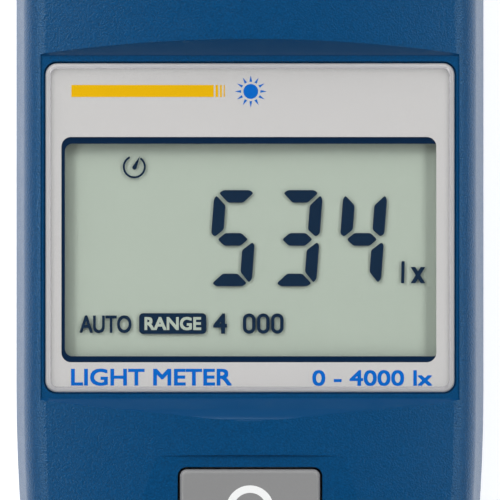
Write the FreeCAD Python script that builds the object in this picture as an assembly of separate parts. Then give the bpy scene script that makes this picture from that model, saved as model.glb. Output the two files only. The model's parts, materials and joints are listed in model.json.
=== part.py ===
import FreeCAD, Part

import math
import os

# Hand-held digital light meter with a swivelling sensor head, in millimetres.
# It lies on its back: +X is the user's right, +Y points from the keypad to the sensor head, and +Z
# is out of the display. The origin is under the middle of the meter, on the surface that it lies on.

Vec = FreeCAD.Vector

# --- Driving dimensions -------------------------------------------------------------------------

LENGTH = 166.0  # end to end, along Y
WIDTH = 64.0  # at the display, on the parting line
DEPTH = 28.0  # back face to the crown of the front
WALL = 2.0
HEAD_LENGTH = 46.0
SPLIT_GAP = 0.4  # between the case and the head
END_WALL = 2.5  # the two walls that face each other at that gap

Y_END = -LENGTH / 2
Y_NOSE = LENGTH / 2
Y_SPLIT = Y_NOSE - HEAD_LENGTH
Z_PARTING = DEPTH / 2  # front and rear shells meet here, on the swivel's axis
HALF_WIDTH = WIDTH / 2

# Plan outline, arcs that run into each other. Every inset outline keeps their centres.
Y_WAIST = -21.2  # the sides start to draw in below this
FLANK_RADIUS = 240.0
CORNER_RADIUS = 16.0
END_RADIUS = 80.0
NOSE_RADIUS = 28.0
Y_SHOULDER = Y_SPLIT + 2.0

# Outer surfaces
CROWN_RADIUS = 175.0  # across the front
HEAD_PROFILE_RADIUS = 400.0  # front and back of the head bend in towards the nose
TAIL_PROFILE_RADIUS = 500.0  # the front bends down towards the keypad's end
Y_HEAD_BEND = Y_SPLIT + 6.0
Y_TAIL_BEND = -45.0
FRONT_DRAFT = 0.16  # sideways per unit of height, beside the display and round the head
TAIL_DRAFT = 0.06  # the same round the keypad's end
REAR_DRAFT = 0.035
FRONT_EDGE = 3.8  # edge rounding
REAR_EDGE = 5.0

# Display: clear lens over a printed face sheet, in a level recess that cuts into the crown
Y_LENS = 1.0
LENS_WIDTH, LENS_HEIGHT, LENS_THICK = 55.2, 44.4, 1.6
LENS_CORNER = 1.6
LENS_EDGE = 1.0
LENS_GAP = 0.2
Z_LAND = 25.4  # floor of the recess round the lens
LENS_PROUD = 0.35
SHEET_THICK = 0.15
SHEET_GAP = 0.05
LAND_HALF_WIDTH = 28.2
LAND_ABOVE, LAND_BELOW = 0.95, 0.75  # land showing above and below the lens
RECESS_SLOPE = math.radians(40)  # of its two end walls, from upright
RECESS_ROUND = 2.5  # rounding along the top of its lower wall
WINDOW_WIDTH, WINDOW_HEIGHT, WINDOW_CORNER = 50.6, 30.4, 1.3
WINDOW_DX, WINDOW_DY = -0.15, -2.95  # from the lens's centre
APERTURE_LEFT, APERTURE_RIGHT = -25.0, 25.7
APERTURE_BELOW, APERTURE_ABOVE = -17.35, 11.35  # from the lens's centre
Z_DISPLAY_DECK = 23.15  # inside face of the shell round the display

# Keypad deck, a shallow level cut that falls slightly towards the end
Y_DECK_TOP, Y_DECK_END = -29.65, -72.5
DECK_DEPTH = 0.45
DECK_SLOPE = 0.0262
Z_KEY_DECK = 24.4  # inside face of the shell behind the keys
KEY_GAP = 0.32
KEY_PROUD = 0.7
KEY_FLANGE = 1.2
KEY_FLANGE_THICK = 1.0
KEY_WALL = 1.3
KEY_STEM_RADIUS = 2.4
KEY_CORNER = 0.9
KEY_TRAVEL = 1.1
# name: centre x, centre y, width, height
KEYS = {
    "power_key": (0.0, -36.8, 18.8, 10.7),
    "hold_key": (-9.3, -50.6, 14.8, 8.4),
    "peak_key": (9.3, -50.6, 14.8, 8.4),
    "unit_key": (-9.3, -62.6, 14.8, 8.4),
    "backlight_key": (9.3, -62.6, 14.8, 8.4),
}

# Circuit board and display stack
BOARD_THICK = 1.6
Z_BOARD = 13.5
Z_BOARD_TOP = Z_BOARD + BOARD_THICK
BOARD_INSET = 4.6
BOARD_TOP_Y, BOARD_END_Y = 28.0, -78.0
GLASS_WIDTH, GLASS_HEIGHT = 53.0, 36.0
GLASS_THICK = 0.7
REAR_GLASS_HEIGHT = 31.0
POLARISER_THICK = 0.15
REFLECTOR_THICK = 0.3
Y_GLASS = Y_LENS + WINDOW_DY
STRIP_THICK, STRIP_LENGTH = 1.8, 48.0
MAT_THICK = 1.2
DOME_HEIGHT = 1.5

# Battery bay: three AAA cells side by side
CELL_RADIUS = 5.25
CELL_BODY, CELL_NUB, CELL_NUB_RADIUS = 43.3, 1.2, 1.9
CELL_PITCH = 11.3
CELL_Z = 7.4
BAY_HALF_WIDTH = 17.6
BAY_TOP, BAY_END = -18.5, -70.0
BAY_WALL = 1.5
BAY_RIM = 12.8
CONTACT_THICK = 0.5
SPRING_RADIUS, SPRING_WIRE, SPRING_TURNS = 2.9, 0.3, 4.5

# Battery door, which slides off past the end
DOOR_HALF_WIDTH = 18.4
DOOR_RECESS = 0.15  # its face lies this far above the back of the case
DOOR_THICK = 1.75
DOOR_TOP = -14.0
TONGUE = 1.5
TONGUE_THICK = 0.9
RUN_GAP = 0.2

# Screws: self-tapping, from the back
CASE_SCREWS = [(-24.0, 30.5), (24.0, 30.5), (-22.8, -60.0), (22.8, -60.0)]
HEAD_SCREWS = [(-23.6, 45.6), (23.6, 45.6), (0.0, 76.4)]
BOARD_SCREWS = [(-19.6, 24.6), (19.6, 24.6), (-24.4, -27.6), (24.4, -27.6), (-9.0, -75.6), (9.0, -75.6)]
BOSS_RADIUS = 3.2
PILOT_RADIUS = 1.1
CLEAR_RADIUS = 1.45
SCREW_HEAD_RADIUS, SCREW_HEAD_THICK = 2.3, 1.7
COUNTERBORE_RADIUS, COUNTERBORE_DEPTH = 2.8, 4.5
CASE_SCREW_LENGTH = 15.0
BOARD_BOSS_RADIUS = 2.4
BOARD_SCREW_LENGTH = 6.5

# Tripod bush, for a 1/4 inch 20 UNC screw
BUSH_Y = 8.0
BUSH_RADIUS, BUSH_HEIGHT = 4.5, 7.6
BUSH_BORE, BUSH_BORE_DEPTH = 2.6, 6.5
BUSH_RECESS = 0.2
BUSH_BOSS_RADIUS = 7.0

# Sensor
Y_SENSOR = Y_SPLIT + 23.0
Z_SEAT = 24.8
RING_RADIUS = 18.5
RING_INNER = 15.0
RING_HEIGHT = 2.5
SEAT_SHELF = 2.0
LIGHT_HOLE = 13.4
DOME_FLANGE = 16.0
DOME_RADIUS = 14.8
DOME_SKIN = 1.5
DOME_SPHERE = 44.0
GASKET_THICK = 0.4
Z_SENSOR_BOARD = Z_PARTING + 0.1
SENSOR_BOARD_RADIUS = 12.8
SENSOR_POST_X = 10.4

# Swivel
SPINDLE_RADIUS, SPINDLE_BORE = 6.5, 3.4
BEARING_GAP = 0.06
CASE_FLANGE_RADIUS, CASE_FLANGE_THICK = 9.0, 1.5
WASHER_SPACE = 1.0
HEAD_FLANGE_RADIUS, HEAD_FLANGE_THICK = 9.2, 1.8
STOP_REACH = 11.5
STOP_HALF_WIDTH = 6.6
CABLE_RADIUS = 0.9


# --- Helpers ------------------------------------------------------------------------------------


def box(x0, x1, y0, y1, z0, z1):
    return Part.makeBox(x1 - x0, y1 - y0, z1 - z0, Vec(x0, y0, z0))


def post(x, y, radius, z0, z1):
    """An upright cylinder."""
    return Part.makeCylinder(radius, z1 - z0, Vec(x, y, z0))


def barrel(x, z, radius, y0, y1):
    """A cylinder along Y."""
    return Part.makeCylinder(radius, y1 - y0, Vec(x, y0, z), Vec(0, 1, 0))


def cone(x, y, radius0, radius1, z0, z1):
    return Part.makeCone(radius0, radius1, z1 - z0, Vec(x, y, z0))


def tube(x, y, outer, inner, z0, z1):
    return post(x, y, outer, z0, z1).cut(post(x, y, inner, z0 - 1, z1 + 1))


def arc(centre, radius, start, end, z):
    """An arc in plan, with its angles in radians."""
    points = [
        Vec(centre[0] + radius * math.cos(a), centre[1] + radius * math.sin(a), z)
        for a in (start, (start + end) / 2, end)
    ]
    return Part.Arc(*points).toShape()


def slab(cx, cy, width, height, corner, z0, z1):
    """An upright block with rounded corners in plan."""
    wide, high = width / 2 - corner, height / 2 - corner
    edges = []
    corners = [(1, 1, 0), (-1, 1, 1), (-1, -1, 2), (1, -1, 3)]
    for sx, sy, quarter in corners:
        start = quarter * math.pi / 2
        centre = (cx + sx * wide, cy + sy * high)
        edges.append(arc(centre, corner, start, start + math.pi / 2, z0))
    ends = [(e.valueAt(e.FirstParameter), e.valueAt(e.LastParameter)) for e in edges]
    for i in range(4):
        edges.append(Part.makeLine(ends[i][1], ends[(i + 1) % 4][0]))
    wire = Part.Wire(Part.__sortEdges__(edges))
    return Part.Face(wire).extrude(Vec(0, 0, z1 - z0))


def ring_of(profile, x, y):
    """Turns an outline of (radius, z) points about the upright axis at x, y."""
    points = [Vec(x + r, y, z) for r, z in profile]
    face = Part.Face(Part.makePolygon(points + points[:1]))
    return face.revolve(Vec(x, y, 0), Vec(0, 0, 1), 360)


def union(shapes):
    shapes = list(shapes)
    if len(shapes) == 1:
        return shapes[0]
    return shapes[0].multiFuse(shapes[1:]).removeSplitter()


def cut_all(shape, tools):
    return shape.cut(list(tools)).removeSplitter()


def group(shapes):
    """Separate solids that share one node."""
    return Part.makeCompound(list(shapes))


def rim_edges(shape, keep):
    """The edges whose two ends and middle all satisfy keep."""
    found = []
    for edge in shape.Edges:
        middle = edge.valueAt((edge.FirstParameter + edge.LastParameter) / 2)
        if all(keep(p) for p in [v.Point for v in edge.Vertexes] + [middle]):
            found.append(edge)
    return found


# --- Outer form ---------------------------------------------------------------------------------


def meeting_point(c0, r0, c1, r1):
    """Where two circles cross, on the side with the lower y."""
    dx, dy = c1[0] - c0[0], c1[1] - c0[1]
    gap = math.hypot(dx, dy)
    along = (r0 * r0 - r1 * r1 + gap * gap) / (2 * gap)
    off = math.sqrt(r0 * r0 - along * along)
    bx, by = c0[0] + along * dx / gap, c0[1] + along * dy / gap
    options = [
        (bx + off * dy / gap, by - off * dx / gap),
        (bx - off * dy / gap, by + off * dx / gap),
    ]
    return min(options, key=lambda p: p[1])


def plan_wire(inset, z, tail_inset=None):
    """The meter's outline in plan, drawn in by inset, and by tail_inset round the keypad's end."""
    tail_inset = inset if tail_inset is None else tail_inset
    nose = (0.0, Y_NOSE - NOSE_RADIUS)
    rise = nose[1] - Y_SHOULDER
    shoulder_radius = (HALF_WIDTH**2 + rise**2 - NOSE_RADIUS**2) / (2 * (HALF_WIDTH - NOSE_RADIUS))
    shoulder = (HALF_WIDTH - shoulder_radius, Y_SHOULDER)
    end = (0.0, Y_END + END_RADIUS)
    corner = meeting_point(
        (HALF_WIDTH - FLANK_RADIUS, Y_WAIST), FLANK_RADIUS - CORNER_RADIUS,
        end, END_RADIUS - CORNER_RADIUS,
    )
    side = HALF_WIDTH - inset
    corner_radius, end_radius = CORNER_RADIUS - tail_inset, END_RADIUS - tail_inset

    # The flank leaves the straight side at the waist and runs on into the corner.
    across, down = corner[0] - side, corner[1] - Y_WAIST
    flank_radius = (corner_radius**2 - across**2 - down**2) / (2 * (across + corner_radius))
    flank = (side - flank_radius, Y_WAIST)

    top_turn = math.atan2(rise, -shoulder[0])
    side_turn = math.atan2(flank[1] - corner[1], corner[0] - flank[0])
    end_turn = math.atan2(end[1] - corner[1], corner[0])
    full, half = 2 * math.pi, math.pi

    def mirrored(centre):
        return (-centre[0], centre[1])

    edges = [
        Part.makeLine(Vec(side, Y_WAIST, z), Vec(side, Y_SHOULDER, z)),
        arc(shoulder, shoulder_radius - inset, 0, top_turn, z),
        arc(nose, NOSE_RADIUS - inset, top_turn, half - top_turn, z),
        arc(mirrored(shoulder), shoulder_radius - inset, half - top_turn, half, z),
        Part.makeLine(Vec(-side, Y_SHOULDER, z), Vec(-side, Y_WAIST, z)),
        arc(mirrored(flank), flank_radius, half, half + side_turn, z),
        arc(mirrored(corner), corner_radius, half + side_turn, half + end_turn, z),
        arc(end, end_radius, half + end_turn, full - end_turn, z),
        arc(corner, corner_radius, full - end_turn, full - side_turn, z),
        arc(flank, flank_radius, full - side_turn, full, z),
    ]
    return Part.Wire(edges)


def drafted_block(inset, draft, tail_draft, z_far):
    """The outline's solid from the parting line to z_far, drawing in as it goes."""
    reach = abs(z_far - Z_PARTING)
    far = plan_wire(inset + draft * reach, z_far, inset + tail_draft * reach)
    return Part.makeLoft([plan_wire(inset, Z_PARTING), far], True, True)


def swept_profile(face, y_head, head_axis_z, head_turn, y_tail=None, tail_axis_z=None):
    """A section in XZ run straight along the case, and turned about X axes at its two ends."""
    bend = math.degrees(1.2 * HEAD_LENGTH / HEAD_PROFILE_RADIUS)
    turned = face.copy()
    turned.translate(Vec(0, y_head, 0))
    pieces = [turned.revolve(Vec(0, y_head, head_axis_z), Vec(1, 0, 0), head_turn * bend)]
    y_start = Y_END - 5
    if y_tail is not None:
        y_start = y_tail
        turned = face.copy()
        turned.translate(Vec(0, y_tail, 0))
        tail_bend = math.degrees(1.2 * (y_tail - Y_END) / TAIL_PROFILE_RADIUS)
        pieces.append(turned.revolve(Vec(0, y_tail, tail_axis_z), Vec(1, 0, 0), tail_bend))
    straight = face.copy()
    straight.translate(Vec(0, y_start, 0))
    pieces.append(straight.extrude(Vec(0, y_head - y_start, 0)))
    return union(pieces)


def front_form(inset):
    """Everything in front of the parting line, drawn in by inset."""
    reach = HALF_WIDTH + 10
    radius = CROWN_RADIUS - inset
    z_centre = DEPTH - CROWN_RADIUS
    z_side = z_centre + math.sqrt(radius**2 - reach**2)
    crown = Part.Arc(
        Vec(reach, 0, z_side), Vec(0, 0, DEPTH - inset), Vec(-reach, 0, z_side)
    ).toShape()
    low = Z_PARTING - 8
    rest = Part.makePolygon(
        [Vec(-reach, 0, z_side), Vec(-reach, 0, low), Vec(reach, 0, low), Vec(reach, 0, z_side)]
    )
    face = Part.Face(Part.Wire([crown] + rest.Edges))
    under = swept_profile(
        face, Y_HEAD_BEND, DEPTH - HEAD_PROFILE_RADIUS, -1, Y_TAIL_BEND, DEPTH - TAIL_PROFILE_RADIUS
    )
    block = drafted_block(inset, FRONT_DRAFT, TAIL_DRAFT, DEPTH + 4).common(under)
    return rounded(block, FRONT_EDGE - inset, lambda p: p.z > Z_PARTING + 4)


def rear_form(inset):
    """Everything behind the parting line, drawn in by inset."""
    reach = HALF_WIDTH + 10
    corners = [(-reach, inset), (reach, inset), (reach, Z_PARTING + 8), (-reach, Z_PARTING + 8)]
    points = [Vec(x, 0, z) for x, z in corners]
    face = Part.Face(Part.makePolygon(points + points[:1]))
    over = swept_profile(face, Y_HEAD_BEND, HEAD_PROFILE_RADIUS, 1)
    block = drafted_block(inset, REAR_DRAFT, REAR_DRAFT, -2).common(over)
    return rounded(block, REAR_EDGE - inset, lambda p: p.z < Z_PARTING - 4)


def rounded(block, radius, on_rim):
    """Rounds the rim, leaving the seams that cross the broad face."""

    def crosses(edge):
        ends = [v.Point for v in edge.Vertexes]
        middle = edge.valueAt((edge.FirstParameter + edge.LastParameter) / 2)
        level = abs(ends[0].y - ends[-1].y) < 0.01 and abs(middle.y - ends[0].y) < 0.01
        return level and abs(ends[0].x - ends[-1].x) > WIDTH / 4

    rim = [e for e in rim_edges(block, on_rim) if not crosses(e)]
    return block.makeFillet(radius, rim)


def case_part(form, wall=0.0):
    """The case's share of a form, ending short of the split by half the gap and a wall."""
    return form.common(box(-60, 60, Y_END - 5, Y_SPLIT - SPLIT_GAP / 2 - wall, -5, 60))


def head_part(form, wall=0.0):
    return form.common(box(-60, 60, Y_SPLIT + SPLIT_GAP / 2 + wall, Y_NOSE + 5, -5, 60))


def back_z(y):
    """Height of the back surface of the head at y."""
    bend = max(0.0, y - Y_HEAD_BEND)
    return HEAD_PROFILE_RADIUS - math.sqrt(HEAD_PROFILE_RADIUS**2 - bend**2)


def deck_z(y):
    """Height of the keypad deck at y."""
    return DEPTH - DECK_DEPTH - DECK_SLOPE * (Y_DECK_TOP - y)


# --- Case shells --------------------------------------------------------------------------------


def display_recess():
    """The level recess with two sloping ends, the lower one running softly into the crown."""
    top = Y_LENS + LENS_HEIGHT / 2 + LAND_ABOVE
    end = Y_LENS - LENS_HEIGHT / 2 - LAND_BELOW
    rise = 8.0
    run = rise * math.tan(RECESS_SLOPE)
    soft = RECESS_ROUND
    last_turn = math.radians(82)
    arc_rise = soft * (math.sin(last_turn) - math.sin(RECESS_SLOPE))
    straight_rise = DEPTH - Z_LAND - arc_rise
    y1, z1 = end - straight_rise * math.tan(RECESS_SLOPE), Z_LAND + straight_rise
    yc, zc = y1 - soft * math.cos(RECESS_SLOPE), z1 - soft * math.sin(RECESS_SLOPE)
    turns = (RECESS_SLOPE, (RECESS_SLOPE + last_turn) / 2, last_turn)
    x = -LAND_HALF_WIDTH
    bend = [Vec(x, yc + soft * math.cos(a), zc + soft * math.sin(a)) for a in turns]
    far = bend[2] + Vec(0, -12, 12 / math.tan(last_turn))
    corners = [
        bend[2], far, Vec(x, far.y, Z_LAND + rise), Vec(x, top + run, Z_LAND + rise),
        Vec(x, top, Z_LAND), Vec(x, end, Z_LAND), bend[0],
    ]
    edges = Part.makePolygon(corners).Edges + [Part.Arc(*bend).toShape()]
    face = Part.Face(Part.Wire(Part.__sortEdges__(edges)))
    return face.extrude(Vec(2 * LAND_HALF_WIDTH, 0, 0))


def keypad_recess():
    half = 30.0
    slope = 0.35
    rise = 4.0
    outline = [
        (Y_DECK_TOP, deck_z(Y_DECK_TOP)),
        (Y_DECK_TOP + slope * rise, deck_z(Y_DECK_TOP) + rise),
        (Y_DECK_END - slope * rise, deck_z(Y_DECK_END) + rise),
        (Y_DECK_END, deck_z(Y_DECK_END)),
    ]
    points = [Vec(-half, y, z) for y, z in outline]
    face = Part.Face(Part.makePolygon(points + points[:1]))
    return face.extrude(Vec(2 * half, 0, 0))


def spindle_wall_cut():
    return barrel(0, Z_PARTING, SPINDLE_RADIUS + BEARING_GAP, Y_SPLIT - 6, Y_SPLIT + 6)


def front_shell(form, middle, hollow):
    deck_margin = 3.0
    display_deck = box(
        -60, 60,
        Y_LENS - LENS_HEIGHT / 2 - deck_margin, Y_LENS + LENS_HEIGHT / 2 + deck_margin,
        Z_DISPLAY_DECK, 60,
    )
    key_deck = box(-60, 60, Y_DECK_END - 2, Y_DECK_TOP + 1.5, Z_KEY_DECK, 60)
    cavity = case_part(hollow, END_WALL).cut([display_deck, key_deck])
    shell = case_part(form).cut(cavity)
    bosses = [post(x, y, BOSS_RADIUS, Z_PARTING, DEPTH) for x, y in CASE_SCREWS]
    bosses += [post(x, y, BOARD_BOSS_RADIUS, Z_BOARD_TOP, DEPTH) for x, y in BOARD_SCREWS]
    stop = box(
        -STOP_HALF_WIDTH, STOP_HALF_WIDTH, Y_SPLIT - 7.5, Y_SPLIT - 2,
        Z_PARTING + CASE_FLANGE_RADIUS + 0.4, DEPTH,
    )
    shell = union([shell] + [b.common(case_part(middle)) for b in bosses + [stop]])

    lens_pocket = slab(
        0, Y_LENS, LENS_WIDTH + 2 * LENS_GAP, LENS_HEIGHT + 2 * LENS_GAP,
        LENS_CORNER + LENS_GAP, pocket_floor(), Z_LAND + 1,
    )
    aperture = slab(
        (APERTURE_LEFT + APERTURE_RIGHT) / 2, Y_LENS + (APERTURE_BELOW + APERTURE_ABOVE) / 2,
        APERTURE_RIGHT - APERTURE_LEFT, APERTURE_ABOVE - APERTURE_BELOW,
        1.0, Z_DISPLAY_DECK - 2, Z_LAND,
    )
    key_holes = [
        slab(x, y, w + 2 * KEY_GAP, h + 2 * KEY_GAP, KEY_CORNER + KEY_GAP, Z_KEY_DECK - 1, DEPTH + 2)
        for x, y, w, h in KEYS.values()
    ]
    shell = shell.cut([display_recess(), keypad_recess(), lens_pocket, aperture] + key_holes)
    pilots = [post(x, y, PILOT_RADIUS, Z_PARTING - 1, Z_PARTING + 7.5) for x, y in CASE_SCREWS]
    pilots += [post(x, y, PILOT_RADIUS, Z_BOARD_TOP - 1, Z_BOARD_TOP + 6) for x, y in BOARD_SCREWS]
    return cut_all(shell, pilots + [spindle_wall_cut()])


def pocket_floor():
    return Z_LAND + LENS_PROUD - LENS_THICK - SHEET_GAP - SHEET_THICK


def screw_tube(x, y, z_back):
    return post(x, y, BOSS_RADIUS + 0.3, z_back + WALL / 2, Z_PARTING)


def screw_hole(x, y, z_back):
    bore = post(x, y, CLEAR_RADIUS, z_back - 1, Z_PARTING + 1)
    return bore.fuse(post(x, y, COUNTERBORE_RADIUS, z_back - 3, z_back + COUNTERBORE_DEPTH))


def rear_shell(form, middle, hollow):
    shell = case_part(form).cut(case_part(hollow, END_WALL))
    door_half = DOOR_HALF_WIDTH + RUN_GAP
    rail_out = DOOR_HALF_WIDTH + TONGUE + 1.5
    z_rail = DOOR_RECESS + DOOR_THICK + RUN_GAP

    walls = box(
        -BAY_HALF_WIDTH - BAY_WALL, BAY_HALF_WIDTH + BAY_WALL,
        BAY_END - BAY_WALL, BAY_TOP + BAY_WALL, WALL / 2, BAY_RIM,
    )
    rails = box(-rail_out, rail_out, Y_END, DOOR_TOP + 2, WALL / 2, z_rail + 1.2)
    tubes = [screw_tube(x, y, 0) for x, y in CASE_SCREWS]
    boss = post(0, BUSH_Y, BUSH_BOSS_RADIUS, WALL / 2, BUSH_HEIGHT + 1.2)
    ribs = [
        box(-BUSH_BOSS_RADIUS - 9, BUSH_BOSS_RADIUS + 9, BUSH_Y - 0.6, BUSH_Y + 0.6, WALL / 2, 6.0),
        box(-0.6, 0.6, BUSH_Y - 16, BUSH_Y + 16, WALL / 2, 6.0),
    ]
    added = union([walls, rails, boss] + tubes + ribs).common(case_part(middle))
    shell = shell.fuse(added)

    tongues = door_half + TONGUE
    bay = box(-BAY_HALF_WIDTH, BAY_HALF_WIDTH, BAY_END, BAY_TOP, -1, BAY_RIM + 1)
    door_way = box(-door_half, door_half, Y_END - 1, DOOR_TOP + RUN_GAP, -1, z_rail)
    groove = box(
        -tongues, tongues, Y_END - 1, DOOR_TOP + RUN_GAP, z_rail - TONGUE_THICK - 2 * RUN_GAP, z_rail
    )
    holes = [screw_hole(x, y, 0) for x, y in CASE_SCREWS]
    socket = post(0, BUSH_Y, BUSH_RADIUS, -1, BUSH_RECESS + BUSH_HEIGHT)
    return cut_all(shell, [bay, door_way, groove, socket, spindle_wall_cut()] + holes)


def battery_door():
    """Slides between the rails. Its end wears the case's own rounding."""
    top = DOOR_RECESS + DOOR_THICK
    skin = rear_form(DOOR_RECESS)
    plate = box(-DOOR_HALF_WIDTH, DOOR_HALF_WIDTH, Y_END, DOOR_TOP, -1, top)
    reach = DOOR_HALF_WIDTH + TONGUE
    tongue = box(-reach, reach, Y_END + 4, DOOR_TOP, top - TONGUE_THICK, top)
    door = skin.common(plate.fuse(tongue))
    grip_pitch = 1.6
    grips = [
        box(-7, 7, DOOR_TOP - 9 - n * grip_pitch, DOOR_TOP - 8.2 - n * grip_pitch, -1, DOOR_RECESS + 0.5)
        for n in range(6)
    ]
    return cut_all(door, grips)


# --- Display ------------------------------------------------------------------------------------


def display_lens():
    z0 = pocket_floor() + SHEET_THICK + SHEET_GAP
    lens = slab(0, Y_LENS, LENS_WIDTH, LENS_HEIGHT, LENS_CORNER, z0, z0 + LENS_THICK)
    top = z0 + LENS_THICK - 0.01
    return lens.makeFillet(LENS_EDGE, rim_edges(lens, lambda p: p.z > top))


def face_sheet():
    margin = 0.1
    z0 = pocket_floor()
    sheet = slab(
        0, Y_LENS, LENS_WIDTH - 2 * margin, LENS_HEIGHT - 2 * margin, LENS_CORNER - margin,
        z0, z0 + SHEET_THICK,
    )
    window = slab(
        WINDOW_DX, Y_LENS + WINDOW_DY, WINDOW_WIDTH, WINDOW_HEIGHT, WINDOW_CORNER, z0 - 1, z0 + 1
    )
    return sheet.cut(window)


def display_stack():
    """From the shell's deck downwards: polariser, two glasses, reflector, light guide."""
    clearance = 0.05
    z_front = Z_DISPLAY_DECK - clearance - POLARISER_THICK
    z_ledge = z_front - GLASS_THICK
    z_rear = z_ledge - GLASS_THICK
    z_reflector = z_rear - REFLECTOR_THICK
    half_width, half_height = GLASS_WIDTH / 2, GLASS_HEIGHT / 2
    rear_half = REAR_GLASS_HEIGHT / 2
    guide_top = z_reflector - 0.1
    guide_half_x, guide_half_y, guide_thick = 25.0, 14.4, 2.6
    strip_from, strip_half = rear_half + 0.5, STRIP_LENGTH / 2

    def layer(half_x, half_y, z0, z1):
        return box(-half_x, half_x, Y_GLASS - half_y, Y_GLASS + half_y, z0, z1)

    def strip(side, extra=0.0):
        near, far = strip_from - extra, strip_from + STRIP_THICK + extra
        y0, y1 = sorted((Y_GLASS + side * near, Y_GLASS + side * far))
        return box(-strip_half - extra, strip_half + extra, y0, y1, Z_BOARD_TOP, z_ledge + 5 * extra)

    frame_wall = 1.6
    room = 0.2
    holder = layer(half_width + frame_wall, half_height + frame_wall, Z_BOARD_TOP, z_front)
    holder = holder.cut([
        layer(half_width + room, half_height + room, z_reflector, z_front + 1),
        layer(guide_half_x + room, guide_half_y + room, Z_BOARD_TOP - 1, z_front),
        strip(1, room),
        strip(-1, room),
    ])
    leds = [
        box(side * 12 - 1.6, side * 12 + 1.6, Y_GLASS - 1.6, Y_GLASS + 1.6, Z_BOARD_TOP, Z_BOARD_TOP + 0.9)
        for side in (-1, 1)
    ]
    return {
        "lcd_front_polariser": layer(half_width - 0.5, rear_half - 0.3, z_front, z_front + POLARISER_THICK),
        "lcd_front_glass": layer(half_width, half_height, z_ledge, z_front),
        "lcd_rear_glass": layer(half_width, rear_half, z_rear, z_ledge),
        "lcd_reflector": layer(half_width - 0.3, rear_half - 0.3, z_reflector, z_rear),
        "light_guide": layer(guide_half_x, guide_half_y, guide_top - guide_thick, guide_top),
        "backlight_leds": group(leds),
        "contact_strips": group([strip(1), strip(-1)]),
        "lcd_holder": holder,
    }


# --- Keys and circuit board ---------------------------------------------------------------------


def key_cap(x, y, width, height):
    """A hollow cap with a flange that holds it in, and a stem that stands on its dome."""
    top = deck_z(y) + KEY_PROUD
    flange_low = Z_KEY_DECK - 0.1 - KEY_FLANGE_THICK
    cap = slab(x, y, width, height, KEY_CORNER, flange_low, top)
    cap = cap.makeFillet(0.55, rim_edges(cap, lambda p: p.z > top - 0.01))
    flange = slab(
        x, y, width + 2 * KEY_FLANGE, height + 2 * KEY_FLANGE, KEY_CORNER + KEY_FLANGE,
        flange_low, flange_low + KEY_FLANGE_THICK,
    )
    hollow = slab(
        x, y, width - 2 * KEY_WALL, height - 2 * KEY_WALL, 0.5, flange_low - 1, top - KEY_WALL
    )
    stem_low = Z_BOARD_TOP + MAT_THICK + DOME_HEIGHT + 0.05
    stem = post(x, y, KEY_STEM_RADIUS, stem_low, top - KEY_WALL / 2)
    return cap.fuse(flange).cut(hollow).fuse(stem).removeSplitter()


def key_mat():
    """One silicone sheet with a hollow dome under each key."""
    z1 = Z_BOARD_TOP + MAT_THICK
    mat = slab(0, -49.8, 38.0, 37.0, 2.0, Z_BOARD_TOP, z1)
    domes = [cone(x, y, 4.4, 2.6, z1, z1 + DOME_HEIGHT) for x, y, _, _ in KEYS.values()]
    hollows = [
        cone(x, y, 4.0, 1.7, Z_BOARD_TOP - 0.01, z1 + DOME_HEIGHT - 1.1) for x, y, _, _ in KEYS.values()
    ]
    return cut_all(mat.multiFuse(domes), hollows)


def carbon_pills():
    z1 = Z_BOARD_TOP + MAT_THICK + DOME_HEIGHT - 1.1
    return group(post(x, y, 1.6, z1 - 0.5, z1) for x, y, _, _ in KEYS.values())


def main_board():
    plate = Part.Face(plan_wire(BOARD_INSET, Z_BOARD)).extrude(Vec(0, 0, BOARD_THICK))
    plate = plate.common(box(-60, 60, BOARD_END_Y, BOARD_TOP_Y, 0, 60))
    holes = [post(x, y, BOSS_RADIUS + 0.8, 0, 40) for x, y in CASE_SCREWS]
    holes += [post(x, y, PILOT_RADIUS + 0.15, 0, 40) for x, y in BOARD_SCREWS]
    return cut_all(plate, holes)


def board_parts():
    """What is soldered to the board. The display's side has the header, the back the rest."""
    z = Z_BOARD
    chip = box(-17, -7, 7, 17, z - 1.4, z)
    chip = chip.makeFillet(0.2, chip.Edges)
    leg_pitch, legs_each_side = 0.8, 11
    first = -leg_pitch * (legs_each_side - 1) / 2
    legs = []
    for n in range(legs_each_side):
        s = first + n * leg_pitch
        for side in (-1, 1):
            x = -12 + side * 5.6
            y = 12 + side * 5.6
            legs.append(box(x - 0.6, x + 0.6, 12 + s - 0.17, 12 + s + 0.17, z - 0.25, z))
            legs.append(box(-12 + s - 0.17, -12 + s + 0.17, y - 0.6, y + 0.6, z - 0.25, z))
    small = [(6 + 3.2 * i, y) for i in range(4) for y in (13.0, 16.5, 20.0)]
    resistors = [box(x - 0.6, x + 0.6, y - 1.0, y + 1.0, z - 0.6, z) for x, y in small]
    header_z = Z_BOARD_TOP
    header = box(-4, 4, 22.4, 26.2, header_z, header_z + 4.2)
    header = header.cut(box(-3.2, 3.2, 23.2, 27, header_z + 0.8, header_z + 3.4))
    return {
        "processor_chip": chip,
        "processor_legs": group(leg.cut(chip) for leg in legs),
        "chip_resistors": group(resistors),
        "filter_capacitor": post(22, 6, 2.5, z - 5.4, z),
        "crystal_can": slab(-22, 6, 4.6, 11, 2.2, z - 3.4, z),
        "trimmer": box(-4, 2.7, 18, 24.7, z - 4.6, z).cut(post(-0.65, 21.35, 1.3, z - 5, z - 4.0)),
        "sensor_header": header,
    }


# --- Battery bay --------------------------------------------------------------------------------


def cell_lanes():
    """Each lane's x, and which way its positive end points."""
    return [(-CELL_PITCH, 1), (0.0, -1), (CELL_PITCH, 1)]


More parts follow.
